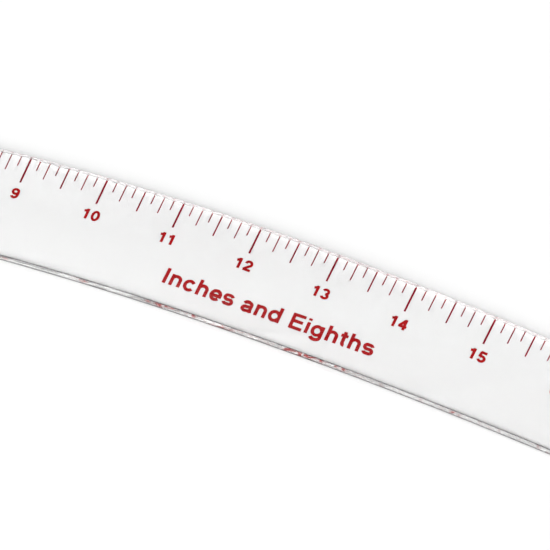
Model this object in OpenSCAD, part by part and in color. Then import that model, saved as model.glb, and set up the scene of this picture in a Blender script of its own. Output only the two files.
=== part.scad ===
// Clear hip curve: a long curved pattern-drafting blade with an inch scale
// along its outer edge.
//
// +X runs along the blade at its middle mark, towards the higher numbers,
// +Y points out through the scale edge and +Z up through the top face.
// The origin is the middle of the underside of the bounding box.
//
// A place on the blade is given by its station, the distance along the scale
// edge from the middle mark, and its depth, the distance in from that edge.

/* [Blade] */
// Length of the scale along the curved edge, in inches
scale_inches = 24; // [18:1:24]
// Blade left beyond the first and the last mark
end_margin = 8; // [7:0.5:12]
// Thickness of the acrylic sheet
thickness = 3; // [2:0.1:5]
// Width of the parallel stretch at the low end of the scale
wide_width = 36.5; // [32:0.5:45]
// Width at the last mark
tip_width = 18.5; // [17:0.5:30]
// Inch mark at which the blade starts to narrow
taper_start = 8; // [4:0.5:12]
// How late the narrowing comes in: 1 is straight, more is later
taper_power = 2.5; // [1.5:0.1:3]
// Radius of the outside corners
corner_radius = 6; // [2:0.5:7]

/* [Curve] */
// Radius of the scale edge at the first mark
tight_radius = 607; // [550:1:900]
// Radius of the scale edge at the last mark
flat_radius = 2590; // [1500:10:6000]

/* [Hanging hole] */
// Diameter of the hole
hole_diameter = 8; // [5:0.5:12]
// Distance of the hole's centre from the wide end
hole_inset = 16; // [12:0.5:25]

/* [Marks] */
// Clear gap between the scale edge and the start of every mark
mark_gap = 0.1; // [0.1:0.05:0.5]
// Depth reached by the inch marks
inch_mark_depth = 9.2; // [8:0.1:10]
// Depth reached by the half-inch marks
half_mark_depth = 7.6; // [6:0.1:8]
// Depth reached by the quarter-inch marks
quarter_mark_depth = 6; // [4.5:0.1:6]
// Depth reached by the eighth-inch marks
eighth_mark_depth = 3.6; // [2:0.1:4.5]
// Line width of the inch marks
inch_mark_width = 0.6; // [0.3:0.05:0.8]
// Line width of the half-inch marks
half_mark_width = 0.45; // [0.2:0.05:0.6]
// Line width of the quarter-inch and eighth-inch marks
fine_mark_width = 0.35; // [0.15:0.05:0.5]

/* [Numerals] */
// Height of the numerals
numeral_height = 3.7; // [3:0.1:4]
// Depth of the middle of the numerals
numeral_depth = 13.4; // [12.5:0.1:14]

/* [Legend] */
// Words printed under the middle of the scale
legend_words = "Inches and Eighths"; // ["Inches and Eighths", "Inches", "Eighths"]
// Height of the legend's capital letters
legend_height = 5.3; // [3:0.1:6]
// Distance of the legend's middle past the middle mark
legend_shift = 13; // [-40:1:40]
// Depth of the legend's baseline
legend_depth = 28.3; // [24:0.1:30]

/* [Ink] */
// Thickness of the printed ink on the underside
ink_thickness = 0.03; // [0.02:0.01:0.05]

/* [Hidden] */

inch = 25.4;
half_scale = scale_inches * inch / 2;
half_blade = half_scale + end_margin;
// The curvature changes evenly from one end of the scale to the other
tight_curvature = 1 / tight_radius;
flat_curvature = 1 / flat_radius;
middle_curvature = (tight_curvature + flat_curvature) / 2;
curvature_change = (flat_curvature - tight_curvature) / (2 * half_scale);

// Steps of the outline
edge_step = 3;
corner_steps = 8;
path_steps = 60;

// Letter shapes are drawn in units of the capital height
letter_stroke = 0.205;
numeral_stroke = 0.24;
arc_steps = 14;
ring_steps = 28;

// ---- The curve of the scale edge ----

// Direction of the scale edge at a station, in degrees clockwise from +X
function heading(station) =
    (middle_curvature + curvature_change * station / 2) * station * 180 / PI;

function total(points) = [for (p = points) 1] * points;

// Point of the scale edge at a station, found by adding up short steps
function edge_point(station) =
    let (step = station / path_steps)
    step * total([for (i = [0.5 : path_steps])
        [cos(heading(i * step)), -sin(heading(i * step))]]);

// Point of the blade at a station and a depth
function blade_point(station, depth) =
    edge_point(station) - depth * [sin(heading(station)), cos(heading(station))];

// ---- The outline of the blade ----

// Station of an inch reading of the scale
function station_of(reading) = reading * inch - half_scale;

function taper(station) =
    let (from = station_of(taper_start))
    max(0, (station - from) / (half_scale - from));

function width_at(station) =
    wide_width - (wide_width - tip_width) * pow(taper(station), taper_power);

// How far the rounded corners pull the outline in at a station
function corner_inset(station) =
    let (past = max(0, abs(station) - half_blade + corner_radius))
    corner_radius - sqrt(max(0, pow(corner_radius, 2) - pow(past, 2)));

corner_stations = [for (i = [0 : corner_steps])
    half_blade - corner_radius + corner_radius * sin(90 * i / corner_steps)];
straight_steps = ceil(2 * (half_blade - corner_radius) / edge_step);
straight_stations = [for (i = [1 : straight_steps - 1])
    (2 * i / straight_steps - 1) * (half_blade - corner_radius)];
stations = concat(
    [for (i = [corner_steps : -1 : 0]) -corner_stations[i]],
    straight_stations,
    corner_stations);
last_station = len(stations) - 1;

outline = concat(
    [for (s = stations) blade_point(s, corner_inset(s))],
    [for (i = [last_station : -1 : 0])
        blade_point(stations[i], width_at(stations[i]) - corner_inset(stations[i]))]);

// The bounding box of the outline puts the origin at its middle
outline_x = [for (p = outline) p.x];
outline_y = [for (p = outline) p.y];
box_middle = [(min(outline_x) + max(outline_x)) / 2, (min(outline_y) + max(outline_y)) / 2];

// ---- Lines and letters ----

function arc(centre, radii, from, to, steps = arc_steps) =
    [for (i = [0 : steps])
        let (a = from + (to - from) * i / steps)
        [centre.x + radii.x * cos(a), centre.y + radii.y * sin(a)]];

function unit(v) = v / norm(v);

// Mitred offset of one unit to the left of a path at its point i
function side(path, i) =
    let (before = max(i, 1),
         after = min(i + 1, len(path) - 1),
         a = unit(path[before] - path[before - 1]),
         b = unit(path[after] - path[after - 1]),
         both = a + b)
    [-both.y, both.x] / (1 + a * b);

// A line of even width along a path, with square ends
module stroke(path, width) {
    last = len(path) - 1;
    polygon(concat(
        [for (i = [0 : last]) path[i] + side(path, i) * width / 2],
        [for (i = [last : -1 : 0]) path[i] - side(path, i) * width / 2]));
}

// A closed oval line of even width
module ring(centre, radii, width) {
    half = [width, width] / 2;
    polygon(
        concat(
            arc(centre, radii + half, 0, 360 * (1 - 1 / ring_steps), ring_steps - 1),
            arc(centre, radii - half, 0, 360 * (1 - 1 / ring_steps), ring_steps - 1)),
        [[for (i = [0 : ring_steps - 1]) i],
         [for (i = [0 : ring_steps - 1]) ring_steps + i]]);
}

// Each letter: its character, its advance, its strokes and its rings, in
// capital heights, for strokes about a fifth of that height wide
x_height = 0.74;
bowl = [0.26, 0.285];
bowl_y = x_height / 2;
letters = [
    ["0", 0.78, [], [[[0.39, 0.5], [0.25, 0.405]]]],
    ["1", 0.78, [[[0.42, 0], [0.42, 1]],
                 [[0.11, 0.74], [0.26, 0.77], [0.41, 0.9]]], []],
    ["2", 0.78, [concat(arc([0.39, 0.67], [0.24, 0.235], 180, -25),
                        [[0.2, 0.2], [0.09, 0.07]]),
                 [[0.06, 0.09], [0.71, 0.09]]], []],
    ["3", 0.78, [arc([0.37, 0.7], [0.215, 0.205], 165, -90),
                 arc([0.375, 0.295], [0.245, 0.2], 90, -165)], []],
    ["4", 0.78, [[[0.52, 0], [0.52, 0.995]],
                 [[0.03, 0.31], [0.73, 0.31]],
                 [[0.1, 0.28], [0.5, 0.93]]], []],
    ["5", 0.78, [[[0.17, 0.905], [0.67, 0.905]],
                 [[0.23, 0.93], [0.17, 0.46]],
                 arc([0.375, 0.325], [0.245, 0.235], 140, -160)], []],
    ["6", 0.78, [concat(arc([0.4, 0.62], [0.25, 0.285], 30, 170),
                        [[0.145, 0.5], [0.15, 0.36]])],
                [[[0.39, 0.315], [0.24, 0.225]]]],
    ["7", 0.78, [[[0.06, 0.905], [0.73, 0.905]],
                 [[0.65, 0.94], [0.46, 0.6], [0.37, 0.3], [0.33, 0]]], []],
    ["8", 0.78, [], [[[0.39, 0.725], [0.205, 0.18]],
                     [[0.39, 0.29], [0.25, 0.2]]]],
    ["9", 0.78, [concat(arc([0.38, 0.38], [0.25, 0.285], 210, 350),
                        [[0.635, 0.5], [0.63, 0.64]])],
                [[[0.39, 0.685], [0.24, 0.225]]]],
    ["I", 0.4, [[[0.2, 0], [0.2, 1]]], []],
    ["E", 0.93, [[[0.2, 0], [0.2, 1]],
                 [[0.15, 0.087], [0.87, 0.087]],
                 [[0.15, 0.52], [0.81, 0.52]],
                 [[0.15, 0.913], [0.86, 0.913]]], []],
    ["a", 0.78, [concat(arc([0.375, 0.49], [0.225, 0.155], 165, 0),
                        [[0.6, 0.16], [0.65, 0]]),
                 concat([[0.6, 0.37]], arc([0.3, 0.215], [0.155, 0.135], 80, 280),
                        [[0.6, 0.12]])], []],
    ["c", 0.78, [arc([0.4, bowl_y], bowl, 38, 322, 20)], []],
    ["d", 0.85, [[[0.66, 0], [0.66, 1]], arc([0.39, bowl_y], bowl, 25, 335, 22)], []],
    ["e", 0.78, [arc([0.39, bowl_y], bowl, 0, 318, 22),
                 [[0.2, bowl_y - 0.035], [0.74, bowl_y - 0.035]]], []],
    ["g", 0.85, [concat([[0.66, x_height], [0.66, 0]],
                        arc([0.39, 0], [0.27, 0.19], -10, -155)),
                 arc([0.39, bowl_y], bowl, 25, 335, 22)], []],
    ["h", 0.85, [[[0.19, 0], [0.19, 1]],
                 concat(arc([0.425, 0.44], [0.235, 0.21], 170, 0), [[0.66, 0]])], []],
    ["i", 0.39, [[[0.195, 0], [0.195, x_height]],
                 [[0.195, 0.84], [0.195, 1]]], []],
    ["n", 0.85, [[[0.19, 0], [0.19, x_height]],
                 concat(arc([0.425, 0.44], [0.235, 0.21], 170, 0), [[0.66, 0]])], []],
    ["s", 0.76, [concat(arc([0.44, 0.505], [0.15, 0.14], 15, 90, 6),
                        arc([0.29, 0.505], [0.145, 0.14], 90, 265),
                        arc([0.47, 0.235], [0.145, 0.14], 85, -90),
                        arc([0.3, 0.235], [0.15, 0.14], -90, -165, 6))], []],
    ["t", 0.49, [concat([[0.235, 0.93], [0.235, 0.2]],
                        arc([0.35, 0.2], [0.115, 0.115], 190, 285, 6)),
                 [[0.03, 0.66], [0.45, 0.66]]], []],
    [" ", 0.39, [], []],
];

function letter(character) = letters[search(character, letters)[0]];
function advance(character) = letter(character)[1];
function text_length(words, count) =
    count == 0 ? 0 : total([for (i = [0 : count - 1]) [advance(words[i]), 0]]).x;

// One line of letters of a capital height, centred on the origin's x, baseline on y = 0
module line_of_text(words, height, stroke_width) {
    start = -text_length(words, len(words)) / 2;
    for (i = [0 : len(words) - 1]) {
        shape = letter(words[i]);
        pen = start + text_length(words, i);
        for (path = shape[2])
            stroke([for (p = path) (p + [pen, 0]) * height], stroke_width * height);
        for (oval = shape[3])
            ring((oval[0] + [pen, 0]) * height, oval[1] * height, stroke_width * height);
    }
}

// ---- Placing ----

// Puts 2-D artwork drawn around a station of the scale edge on the underside
module print_at(station) {
    place = edge_point(station) - box_middle;
    linear_extrude(ink_thickness)
        translate(place)
        rotate(-heading(station))
        children();
}

module mark(station, depth, width) {
    print_at(station)
        translate([-width / 2, -depth])
        square([width, depth - mark_gap]);
}

// ---- Parts ----

module blade() {
    hole_place = blade_point(hole_inset - half_blade, wide_width / 2) - box_middle;
    color("whitesmoke", 0.4)
    translate([0, 0, ink_thickness])
    difference() {
        linear_extrude(thickness)
            polygon([for (p = outline) p - box_middle]);
        translate([hole_place.x, hole_place.y, -1])
            cylinder(h = thickness + 2, d = hole_diameter, $fn = 48);
    }
}

module inch_marks() {
    color("firebrick")
    for (reading = [0 : scale_inches])
        mark(station_of(reading), inch_mark_depth, inch_mark_width);
}

module half_inch_marks() {
    color("firebrick")
    for (reading = [0.5 : scale_inches])
        mark(station_of(reading), half_mark_depth, half_mark_width);
}

module quarter_inch_marks() {
    color("firebrick")
    for (reading = [0.25 : 0.5 : scale_inches])
        mark(station_of(reading), quarter_mark_depth, fine_mark_width);
}

module eighth_inch_marks() {
    color("firebrick")
    for (reading = [0.125 : 0.25 : scale_inches])
        mark(station_of(reading), eighth_mark_depth, fine_mark_width);
}

module numerals() {
    color("crimson")
    for (reading = [1 : scale_inches])
        print_at(station_of(reading))
            translate([0, -numeral_depth - numeral_height / 2])
            line_of_text(str(reading), numeral_height, numeral_stroke);
}

module legend() {
    color("crimson")
    print_at(0)
        translate([legend_shift, -legend_depth])
        line_of_text(legend_words, legend_height, letter_stroke);
}

blade();
inch_marks();
half_inch_marks();
quarter_inch_marks();
eighth_inch_marks();
numerals();
legend();
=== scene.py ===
"""Clear hip curve: finishes the blade and its red print, and sets a plain white table around them."""

import math

import bmesh
import bpy
from bpy.props import FloatProperty, FloatVectorProperty, PointerProperty, StringProperty
from bpy.types import Operator, Panel, PropertyGroup
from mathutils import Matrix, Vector


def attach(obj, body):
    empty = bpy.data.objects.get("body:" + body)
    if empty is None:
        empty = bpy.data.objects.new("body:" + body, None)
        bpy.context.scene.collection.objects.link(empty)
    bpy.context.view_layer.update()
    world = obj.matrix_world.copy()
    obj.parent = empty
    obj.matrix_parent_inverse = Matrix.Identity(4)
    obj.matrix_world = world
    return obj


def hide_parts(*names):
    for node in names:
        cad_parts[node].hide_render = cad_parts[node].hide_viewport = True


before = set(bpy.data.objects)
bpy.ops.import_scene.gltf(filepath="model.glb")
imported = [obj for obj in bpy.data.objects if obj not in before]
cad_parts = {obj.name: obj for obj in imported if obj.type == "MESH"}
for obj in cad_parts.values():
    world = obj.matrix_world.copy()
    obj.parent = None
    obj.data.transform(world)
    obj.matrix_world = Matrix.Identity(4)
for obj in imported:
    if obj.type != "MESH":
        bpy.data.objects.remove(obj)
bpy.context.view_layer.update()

bl_info = {
    "name": "Clear hip curve",
    "version": (1, 0, 0),
    "blender": (4, 5, 0),
    "location": "3D View > Sidebar > Hip Curve",
    "description": "Finishes a clear acrylic hip curve and its printed inch scale",
    "category": "Object",
}

MM = 0.001
DEGREE = math.pi / 180
BODY = "root"
SCALE_NODES = ("inch_marks", "half_inch_marks", "quarter_inch_marks", "eighth_inch_marks")
LETTERING_NODES = ("numerals", "legend")

# Refractive index of acrylic
ACRYLIC_INDEX = 1.49
# Cells of the surface patterns, along the blade, across it and upwards
CUTTER_LINE = (0.25 * MM, 0.25 * MM, 6 * MM)
WIPING_MARK = (14 * MM, 5 * MM, 5 * MM)
PIGMENT_SPOT = (0.35 * MM, 0.35 * MM, 0.35 * MM)
SCREEN_WEAVE = (0.08 * MM, 0.08 * MM, 0.08 * MM)
BOARD_TOOTH = (0.4 * MM, 0.4 * MM, 0.4 * MM)
# Heights of the reliefs
CUTTER_RELIEF = 0.01 * MM
WEAVE_RELIEF = 0.004 * MM
TOOTH_RELIEF = 0.003 * MM

# Points closer than this are one point, and points within the second distance are on one level
MERGE_DISTANCE = 0.0001 * MM
LEVEL_TOLERANCE = 0.001 * MM
# Turns between faces: less than the first is flat, more than the second a crease, than the third a corner
FLAT_TURN = 0.05 * DEGREE
CREASE_TURN = 15 * DEGREE
CORNER_TURN = 60 * DEGREE
# Lean of a normal: a wall's is less than the first, a top or bottom face's more than the second
WALL_LEAN = 0.01
FACE_LEAN = 0.99
# Least part of a normal that points out through the scale edge
OUTWARD = 0.05

# Light is turned back inside the clear sheet many times before it reaches the eye
LIGHT_BOUNCES = 40
# Soft lights: azimuth, elevation, inner and outer half-angle in degrees, and strength
SOFT_BOXES = (
    (-8, 48, 14, 46, 5.3),
    (100, 50, 15, 45, 1.75),
    (-80, 50, 15, 45, 1.05),
    (195, 28, 5, 20, 1.05),
)


# ---- Settings ----

class BladeSettings(PropertyGroup):
    """Sizes and colour of the acrylic sheet."""

    top_arris: FloatProperty(
        name="Top arris", description="Width of the corner that is taken off round the top face",
        default=0.2 * MM, min=0.02 * MM, max=0.5 * MM, unit="LENGTH", precision=5)
    low_arris: FloatProperty(
        name="Lower arris", description="Width of the corner that is taken off round the underside",
        default=0.25 * MM, min=0.02 * MM, max=0.5 * MM, unit="LENGTH", precision=5)
    # Painted shade: a grey at the foot of the inner edge, in place of the shadow where the edge meets the
    # table, reaches up this far.
    painted_shade_height: FloatProperty(
        name="Dust height", description="How far dust from the table climbs up the foot of the inner edge",
        default=1.0 * MM, min=0.05 * MM, max=1.5 * MM, unit="LENGTH", precision=5)
    ink_bond: FloatProperty(
        name="Ink bond", description="How far the sheet wets into the ink, so that no air lies between them",
        default=0.01 * MM, min=0, max=0.02 * MM, unit="LENGTH", precision=6)
    absorption: FloatProperty(
        name="Absorption", description="How strongly the sheet takes up light, per metre of path",
        default=21.0, min=0, max=50)
    tint: StringProperty(
        name="Tint", description="Colour that is left of white light after a long path in the sheet",
        default="#E1E2E1")
    face_roughness: FloatProperty(
        name="Face roughness", description="Roughness of the wiped patches of the polished faces",
        default=0.01, min=0, max=1, subtype="FACTOR")
    inner_roughness: FloatProperty(
        name="Inner edge roughness", description="Roughness of the smoother, concave edge",
        default=0.15, min=0, max=1, subtype="FACTOR")
    scale_roughness: FloatProperty(
        name="Scale edge roughness", description="Roughness of the machined edge along the scale",
        default=0.5, min=0, max=1, subtype="FACTOR")
    arris_roughness: FloatProperty(
        name="Arris roughness", description="Roughness of the scraped corners",
        default=0.45, min=0, max=1, subtype="FACTOR")
    # Painted shade on the corners along the scale: this share of the full grey that the other corners get.
    scale_edge_painted_shade: FloatProperty(
        name="Scale edge dust", description="Share of the dust that the corners along the scale hold",
        default=0.25, min=0, max=1, subtype="FACTOR")
    # Grey of the painted shade on the corners and at the foot of the inner edge, which draws the edge's two
    # dark lines.
    painted_shade_colour: StringProperty(
        name="Dust colour", description="Grey of the dust that the corners and the foot of the edge hold",
        default="#1C1C1E")


class InkSettings(PropertyGroup):
    """Colours of the print."""

    scale: StringProperty(
        name="Scale ink", description="Red of the scale marks", default="#800C20")
    scale_thin: StringProperty(
        name="Thin scale ink", description="Red of the scale marks where the ink is thin",
        default="#92182C")
    lettering: StringProperty(
        name="Lettering ink", description="Red of the numerals and the words", default="#9C1014")
    lettering_thin: StringProperty(
        name="Thin lettering ink", description="Red of the lettering where the ink is thin",
        default="#AA1C20")


class StageSettings(PropertyGroup):
    """Table, light and camera."""

    floor_width: FloatProperty(
        name="Table width", description="Side of the square white table",
        default=16, min=1, unit="LENGTH")
    floor_gap: FloatProperty(
        name="Table gap", description="Air between the print and the table",
        default=0.05 * MM, min=0.01 * MM, unit="LENGTH", precision=5)
    floor_colour: StringProperty(
        name="Table colour", description="Colour of the table", default="#BCBCBC")
    room: FloatProperty(
        name="Room light", description="Strength of the even light between the soft lights",
        default=0.16, min=0)
    target: FloatVectorProperty(
        name="Target", description="Point of the top face that the camera looks at",
        default=(7.648 * MM, 31.189 * MM, 3.03 * MM), unit="LENGTH")
    azimuth: FloatProperty(
        name="Azimuth", description="Direction of the camera round the blade",
        default=22.292 * DEGREE, subtype="ANGLE")
    elevation: FloatProperty(
        name="Elevation", description="Height of the camera above the table",
        default=58.543 * DEGREE, subtype="ANGLE")
    distance: FloatProperty(
        name="Distance", description="Distance of the camera from its target",
        default=560.43 * MM, unit="LENGTH")
    lens: FloatProperty(
        name="Lens", description="Focal length on a 36 mm sensor", default=122.99)


# ---- Colour and node helpers ----

def linear(code):
    """Linear RGBA of an sRGB hex colour."""
    values = [int(code[i:i + 2], 16) / 255 for i in (1, 3, 5)]
    return tuple(v / 12.92 if v <= 0.04045 else ((v + 0.055) / 1.055) ** 2.4 for v in values) + (1,)


def add_node(tree, kind, settings={}, values={}, links={}):
    """A new node with its settings, and its constant and linked inputs by their identifiers."""
    node = tree.nodes.new(kind)
    for name, value in settings.items():
        setattr(node, name, value)
    inputs = {socket.identifier: socket for socket in node.inputs}
    for name, value in values.items():
        inputs[name].default_value = value
    for name, source in links.items():
        tree.links.new(source, inputs[name])
    return node


def output(node):
    """The output that a node has in use."""
    return next(socket for socket in node.outputs if socket.enabled)


def grain(tree, cell, detail=2):
    """Noise with cells of the given length, depth and height."""
    place = add_node(tree, "ShaderNodeTexCoord")
    scaled = add_node(
        tree, "ShaderNodeVectorMath", {"operation": "DIVIDE"}, {"Vector_001": cell},
        {"Vector": place.outputs["Object"]})
    noise = add_node(
        tree, "ShaderNodeTexNoise", values={"Scale": 1, "Detail": detail}, links={"Vector": output(scaled)})
    return noise.outputs["Fac"]


def relief(tree, pattern, height):
    """Bump of a pattern that stands up by a height."""
    bump = add_node(tree, "ShaderNodeBump", values={"Distance": height}, links={"Height": pattern})
    return bump.outputs["Normal"]


def mask(tree, name):
    """A mark that was left on a mesh's faces: 0 or 1, or a share."""
    return add_node(tree, "ShaderNodeAttribute", {"attribute_name": name}).outputs["Fac"]


def combine(tree, operation, first, second):
    """A sum, product or other combination of two values, kept between 0 and 1."""
    node = add_node(
        tree, "ShaderNodeMath", {"operation": operation, "use_clamp": True},
        links={"Value": first, "Value_001": second})
    return output(node)


def new_material(name):
    """An empty node material and its tree."""
    material = bpy.data.materials.new(name)
    material.use_nodes = True
    material.node_tree.nodes.clear()
    return material, material.node_tree


# ---- Materials ----

def acrylic_roughness(tree, settings, wall, scale_edge, arris, cutter_lines):
    """Glossy faces, duller edges and scraped corners."""
    # Wiping marks: the faces stay glossy, with barely duller patches
    face = add_node(
        tree, "ShaderNodeMapRange",
        values={"From Min": 0.5, "From Max": 0.8, "To Max": settings.face_roughness},
        links={"Value": grain(tree, WIPING_MARK, 4)})
    # The edge along the scale is dull, as it was cut, and the inner edge is smoother
    edge = add_node(
        tree, "ShaderNodeMapRange",
        values={"To Min": settings.inner_roughness, "To Max": settings.scale_roughness},
        links={"Value": scale_edge})
    worn = add_node(
        tree, "ShaderNodeMapRange", values={"From Min": 0.3, "From Max": 0.7, "To Min": 0.8, "To Max": 1.2},
        links={"Value": cutter_lines})
    sheet = add_node(
        tree, "ShaderNodeMapRange",
        links={"Value": wall, "To Min": output(face),
               "To Max": combine(tree, "MULTIPLY", output(edge), output(worn))})
    rough = add_node(
        tree, "ShaderNodeMapRange", values={"To Max": settings.arris_roughness},
        links={"Value": arris, "To Min": output(sheet)})
    return output(rough)


def acrylic_painted_shade(tree, settings, wall, scale_edge, arris):
    """Colour of the surface: clear, with grey painted shade on the corners and at the foot of the inner
    edge, which draws the edge's two dark lines.
    """
    place = add_node(tree, "ShaderNodeTexCoord")
    height = add_node(tree, "ShaderNodeSeparateXYZ", links={"Vector": place.outputs["Object"]})
    # Painted shade at the foot of the inner edge, in place of its contact shadow: full grey low down, fading
    # out by the given height.
    foot = add_node(
        tree, "ShaderNodeMapRange",
        values={"From Min": settings.painted_shade_height, "From Max": 0.7 * settings.painted_shade_height},
        links={"Value": height.outputs["Z"]})
    inner_edge = combine(tree, "SUBTRACT", wall, scale_edge)
    # The corners get the same grey: painted shade that draws their dark lines.
    painted_shade = combine(tree, "MAXIMUM", arris, combine(tree, "MULTIPLY", output(foot), inner_edge))
    colour = add_node(
        tree, "ShaderNodeMix", {"data_type": "RGBA"},
        {"A_Color": (1, 1, 1, 1), "B_Color": linear(settings.painted_shade_colour)}, {"Factor_Float": painted_shade})
    return output(colour)


def clear_cast_acrylic(settings):
    """Cast acrylic sheet, machined: clear and glossy, so the eye sees the table and the print through it."""
    material, tree = new_material("clear_cast_acrylic")
    wall, scale_edge, arris = [mask(tree, name) for name in ("wall", "scale_edge", "arris")]
    # Upright cutter lines, which break up the gleam of the edges
    cutter_lines = grain(tree, CUTTER_LINE, 3)
    cut = combine(tree, "MAXIMUM", wall, arris)
    shader = add_node(
        tree, "ShaderNodeBsdfPrincipled", values={"IOR": ACRYLIC_INDEX, "Transmission Weight": 1},
        links={"Base Color": acrylic_painted_shade(tree, settings, wall, scale_edge, arris),
               "Roughness": acrylic_roughness(tree, settings, wall, scale_edge, arris, cutter_lines),
               "Normal": relief(tree, combine(tree, "MULTIPLY", cut, cutter_lines), CUTTER_RELIEF)})
    # Faint grey of a long path through the sheet
    volume = add_node(
        tree, "ShaderNodeVolumeAbsorption",
        values={"Color": linear(settings.tint), "Density": settings.absorption})
    add_node(
        tree, "ShaderNodeOutputMaterial",
        links={"Surface": shader.outputs["BSDF"], "Volume": volume.outputs["Volume"]})
    return material


def screen_ink(name, colour, thin):
    """Screen-printed ink: a solid deep red that gets its gloss from the sheet over it."""
    material, tree = new_material(name)
    # Pigment that lies a little thinner in spots
    cover = add_node(
        tree, "ShaderNodeMapRange", values={"From Min": 0.45, "From Max": 0.75},
        links={"Value": grain(tree, PIGMENT_SPOT, 3)})
    pigment = add_node(
        tree, "ShaderNodeMix", {"data_type": "RGBA"},
        {"A_Color": linear(colour), "B_Color": linear(thin)}, {"Factor_Float": output(cover)})
    # Fine weave left by the screen
    weave = relief(tree, grain(tree, SCREEN_WEAVE), WEAVE_RELIEF)
    shader = add_node(
        tree, "ShaderNodeBsdfPrincipled", values={"Roughness": 0.5, "Specular IOR Level": 0},
        links={"Base Color": output(pigment), "Normal": weave})
    add_node(tree, "ShaderNodeOutputMaterial", links={"Surface": shader.outputs["BSDF"]})
    return material


def matte_table(colour):
    """Coated white board: an even matte white without a gleam."""
    material, tree = new_material("matte_white_table")
    # Tooth of the board, too fine to be seen as a pattern
    tooth = relief(tree, grain(tree, BOARD_TOOTH), TOOTH_RELIEF)
    shader = add_node(
        tree, "ShaderNodeBsdfPrincipled",
        values={"Base Color": linear(colour), "Roughness": 0.9, "Specular IOR Level": 0},
        links={"Normal": tooth})
    add_node(tree, "ShaderNodeOutputMaterial", links={"Surface": shader.outputs["BSDF"]})
    return material


# ---- Pieces ----

def link_mesh(name, mesh):
    """A new object at the origin that shows a mesh."""
    piece = bpy.data.objects.new(name, mesh)
    bpy.context.scene.collection.objects.link(piece)
    return piece


def on_level(vertex, level):
    """Whether a vertex lies on a horizontal level."""
    return abs(vertex.co.z - level) < LEVEL_TOLERANCE


def faces_scale(face):
    """Whether a face looks out through the scale edge."""
    return face.normal.y > OUTWARD


def take_off_corners(bm, level, width):
    """Rounds the rims that lie on a level, and gives the faces that this makes."""
    rims = [e for e in bm.edges if e.calc_face_angle() > CORNER_TURN and on_level(e.verts[0], level)]
    return bmesh.ops.bevel(
        bm, geom=rims, offset=width, offset_type="OFFSET", affect="EDGES",
        segments=3, profile=0.5, material=-1, clamp_overlap=True)["faces"]


def make_blade(settings):
    """The sheet: the CAD solid with every cut corner taken off, and with its edges marked for the finish and
    for the painted shade.
    """
    mesh = bpy.data.meshes.new("clear_blade")
    bm = bmesh.new()
    bm.from_mesh(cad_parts["blade"].data)
    wall, scale_edge, arris = [bm.faces.layers.float.new(name) for name in ("wall", "scale_edge", "arris")]
    bmesh.ops.remove_doubles(bm, verts=bm.verts, dist=MERGE_DISTANCE)
    bmesh.ops.dissolve_limit(bm, angle_limit=FLAT_TURN, verts=bm.verts, edges=bm.edges)
    bmesh.ops.recalc_face_normals(bm, faces=bm.faces)
    low = min(v.co.z for v in bm.verts)
    high = max(v.co.z for v in bm.verts)
    for level, width in ((high, settings.top_arris), (low, settings.low_arris)):
        for face in take_off_corners(bm, level, width):
            # The corners' mark also gives their share of painted shade: full on the inner edge, less along
            # the scale.
            face[arris] = settings.scale_edge_painted_shade if faces_scale(face) else 1
    under = [v for v in bm.verts if on_level(v, low)]
    bmesh.ops.translate(bm, verts=under, vec=(0, 0, -settings.ink_bond))
    for face in bm.faces:
        face.smooth = True
        face[wall] = abs(face.normal.z) < WALL_LEAN
        face[scale_edge] = faces_scale(face) and abs(face.normal.z) < FACE_LEAN
    for edge in bm.edges:
        edge.smooth = edge.calc_face_angle() < CREASE_TURN
    bm.to_mesh(mesh)
    bm.free()
    mesh.materials.append(clear_cast_acrylic(settings))
    blade = link_mesh("clear_blade", mesh)
    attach(blade, BODY)
    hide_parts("blade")


def print_nodes(names, material):
    """Gives printed CAD nodes their ink."""
    for name in names:
        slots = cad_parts[name].material_slots
        if not slots:
            raise RuntimeError(f"{name} has no material slot for its ink")
        for slot in slots:
            slot.link = "OBJECT"
            slot.material = material


# ---- Stage ----

def make_table(settings):
    """The white table that the blade lies on."""
    mesh = bpy.data.meshes.new("table")
    bm = bmesh.new()
    bmesh.ops.create_grid(bm, x_segments=1, y_segments=1, size=settings.floor_width / 2)
    bmesh.ops.translate(bm, verts=bm.verts, vec=(0, 0, -settings.floor_gap))
    bm.to_mesh(mesh)
    bm.free()
    mesh.materials.append(matte_table(settings.floor_colour))
    table = link_mesh("table", mesh)


def direction(azimuth, elevation):
    """Unit vector to a place round the blade, its azimuth counted from -Y towards +X."""
    flat = math.cos(elevation)
    return Vector((math.sin(azimuth) * flat, -math.cos(azimuth) * flat, math.sin(elevation)))


def make_light(settings):
    """A soft studio: wide soft lights round a dim room."""
    world = bpy.data.worlds.new("soft_studio")
    world.use_nodes = True
    tree = world.node_tree
    tree.nodes.clear()
    place = add_node(tree, "ShaderNodeTexCoord")
    room = add_node(tree, "ShaderNodeValue")
    total = output(room)
    total.default_value = settings.room
    for azimuth, elevation, inner, outer, strength in SOFT_BOXES:
        facing = add_node(
            tree, "ShaderNodeVectorMath", {"operation": "DOT_PRODUCT"},
            {"Vector_001": direction(azimuth * DEGREE, elevation * DEGREE)},
            {"Vector": place.outputs["Generated"]})
        glow = add_node(
            tree, "ShaderNodeMapRange", {"interpolation_type": "SMOOTHSTEP"},
            {"From Min": math.cos(outer * DEGREE), "From Max": math.cos(inner * DEGREE), "To Max": strength},
            {"Value": output(facing)})
        added = add_node(
            tree, "ShaderNodeMath", {"operation": "ADD"},
            links={"Value": total, "Value_001": output(glow)})
        total = output(added)
    background = add_node(
        tree, "ShaderNodeBackground", values={"Color": (1, 1, 1, 1)}, links={"Strength": total})
    add_node(tree, "ShaderNodeOutputWorld", links={"Surface": background.outputs["Background"]})
    bpy.context.scene.world = world


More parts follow.
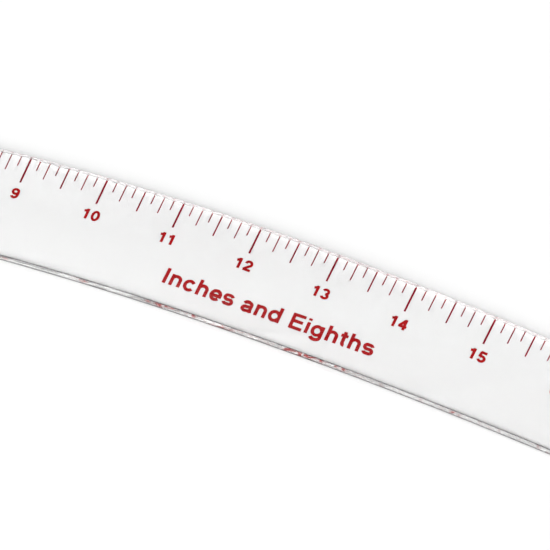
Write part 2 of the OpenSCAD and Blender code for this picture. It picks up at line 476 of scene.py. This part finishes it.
def let_light_through(scene):
    """Lets light run along inside the clear sheet, and keeps white white."""
    scene.view_settings.view_transform = "Standard"
    scene.cycles.blur_glossy = 0
    scene.cycles.max_bounces = LIGHT_BOUNCES
    scene.cycles.glossy_bounces = LIGHT_BOUNCES
    scene.cycles.transmission_bounces = LIGHT_BOUNCES


def make_camera(settings):
    """A long lens above the near edge."""
    camera = bpy.data.objects.new("camera", bpy.data.cameras.new("camera"))
    bpy.context.scene.collection.objects.link(camera)
    back = direction(settings.azimuth, settings.elevation)
    camera.location = Vector(settings.target) + back * settings.distance
    camera.rotation_euler = (-back).to_track_quat("-Z", "Y").to_euler()
    camera.data.lens = settings.lens
    camera.data.sensor_width = 36
    camera.data.clip_start = 0.01
    camera.data.clip_end = 100
    bpy.context.scene.camera = camera


# ---- Operators ----

class HIPCURVE_OT_blade(Operator):
    """Make the clear acrylic blade"""

    bl_idname = "hip_curve.blade"
    bl_label = "Clear blade"

    def execute(self, context):
        make_blade(context.scene.hip_curve_blade)
        return {"FINISHED"}


class HIPCURVE_OT_marks(Operator):
    """Ink the scale marks"""

    bl_idname = "hip_curve.marks"
    bl_label = "Scale marks"

    def execute(self, context):
        ink = context.scene.hip_curve_ink
        print_nodes(SCALE_NODES, screen_ink("scale_screen_ink", ink.scale, ink.scale_thin))
        return {"FINISHED"}


class HIPCURVE_OT_lettering(Operator):
    """Ink the numerals and the words"""

    bl_idname = "hip_curve.lettering"
    bl_label = "Numerals and words"

    def execute(self, context):
        ink = context.scene.hip_curve_ink
        print_nodes(LETTERING_NODES, screen_ink("lettering_screen_ink", ink.lettering, ink.lettering_thin))
        return {"FINISHED"}


class HIPCURVE_OT_stage(Operator):
    """Set the table, the light and the camera"""

    bl_idname = "hip_curve.stage"
    bl_label = "Table, light and camera"

    def execute(self, context):
        settings = context.scene.hip_curve_stage
        make_table(settings)
        make_light(settings)
        let_light_through(context.scene)
        make_camera(settings)
        return {"FINISHED"}


class HIPCURVE_PT_sidebar(Panel):
    """Lists the pieces of the hip curve"""

    bl_idname = "HIPCURVE_PT_sidebar"
    bl_label = "Hip Curve"
    bl_space_type = "VIEW_3D"
    bl_region_type = "UI"
    bl_category = "Hip Curve"

    def draw(self, context):
        for operator in OPERATORS:
            self.layout.operator(operator.bl_idname)


SETTINGS = {"hip_curve_blade": BladeSettings, "hip_curve_ink": InkSettings, "hip_curve_stage": StageSettings}
OPERATORS = (HIPCURVE_OT_blade, HIPCURVE_OT_marks, HIPCURVE_OT_lettering, HIPCURVE_OT_stage)


def register():
    for cls in (*SETTINGS.values(), *OPERATORS, HIPCURVE_PT_sidebar):
        bpy.utils.register_class(cls)
    for name, group in SETTINGS.items():
        setattr(bpy.types.Scene, name, PointerProperty(type=group))


def unregister():
    for name in SETTINGS:
        delattr(bpy.types.Scene, name)
    for cls in (HIPCURVE_PT_sidebar, *reversed(OPERATORS), *SETTINGS.values()):
        bpy.utils.unregister_class(cls)


def main():
    register()
    bpy.ops.hip_curve.blade()
    bpy.ops.hip_curve.marks()
    bpy.ops.hip_curve.lettering()
    bpy.ops.hip_curve.stage()


if __name__ == "__main__":
    main()
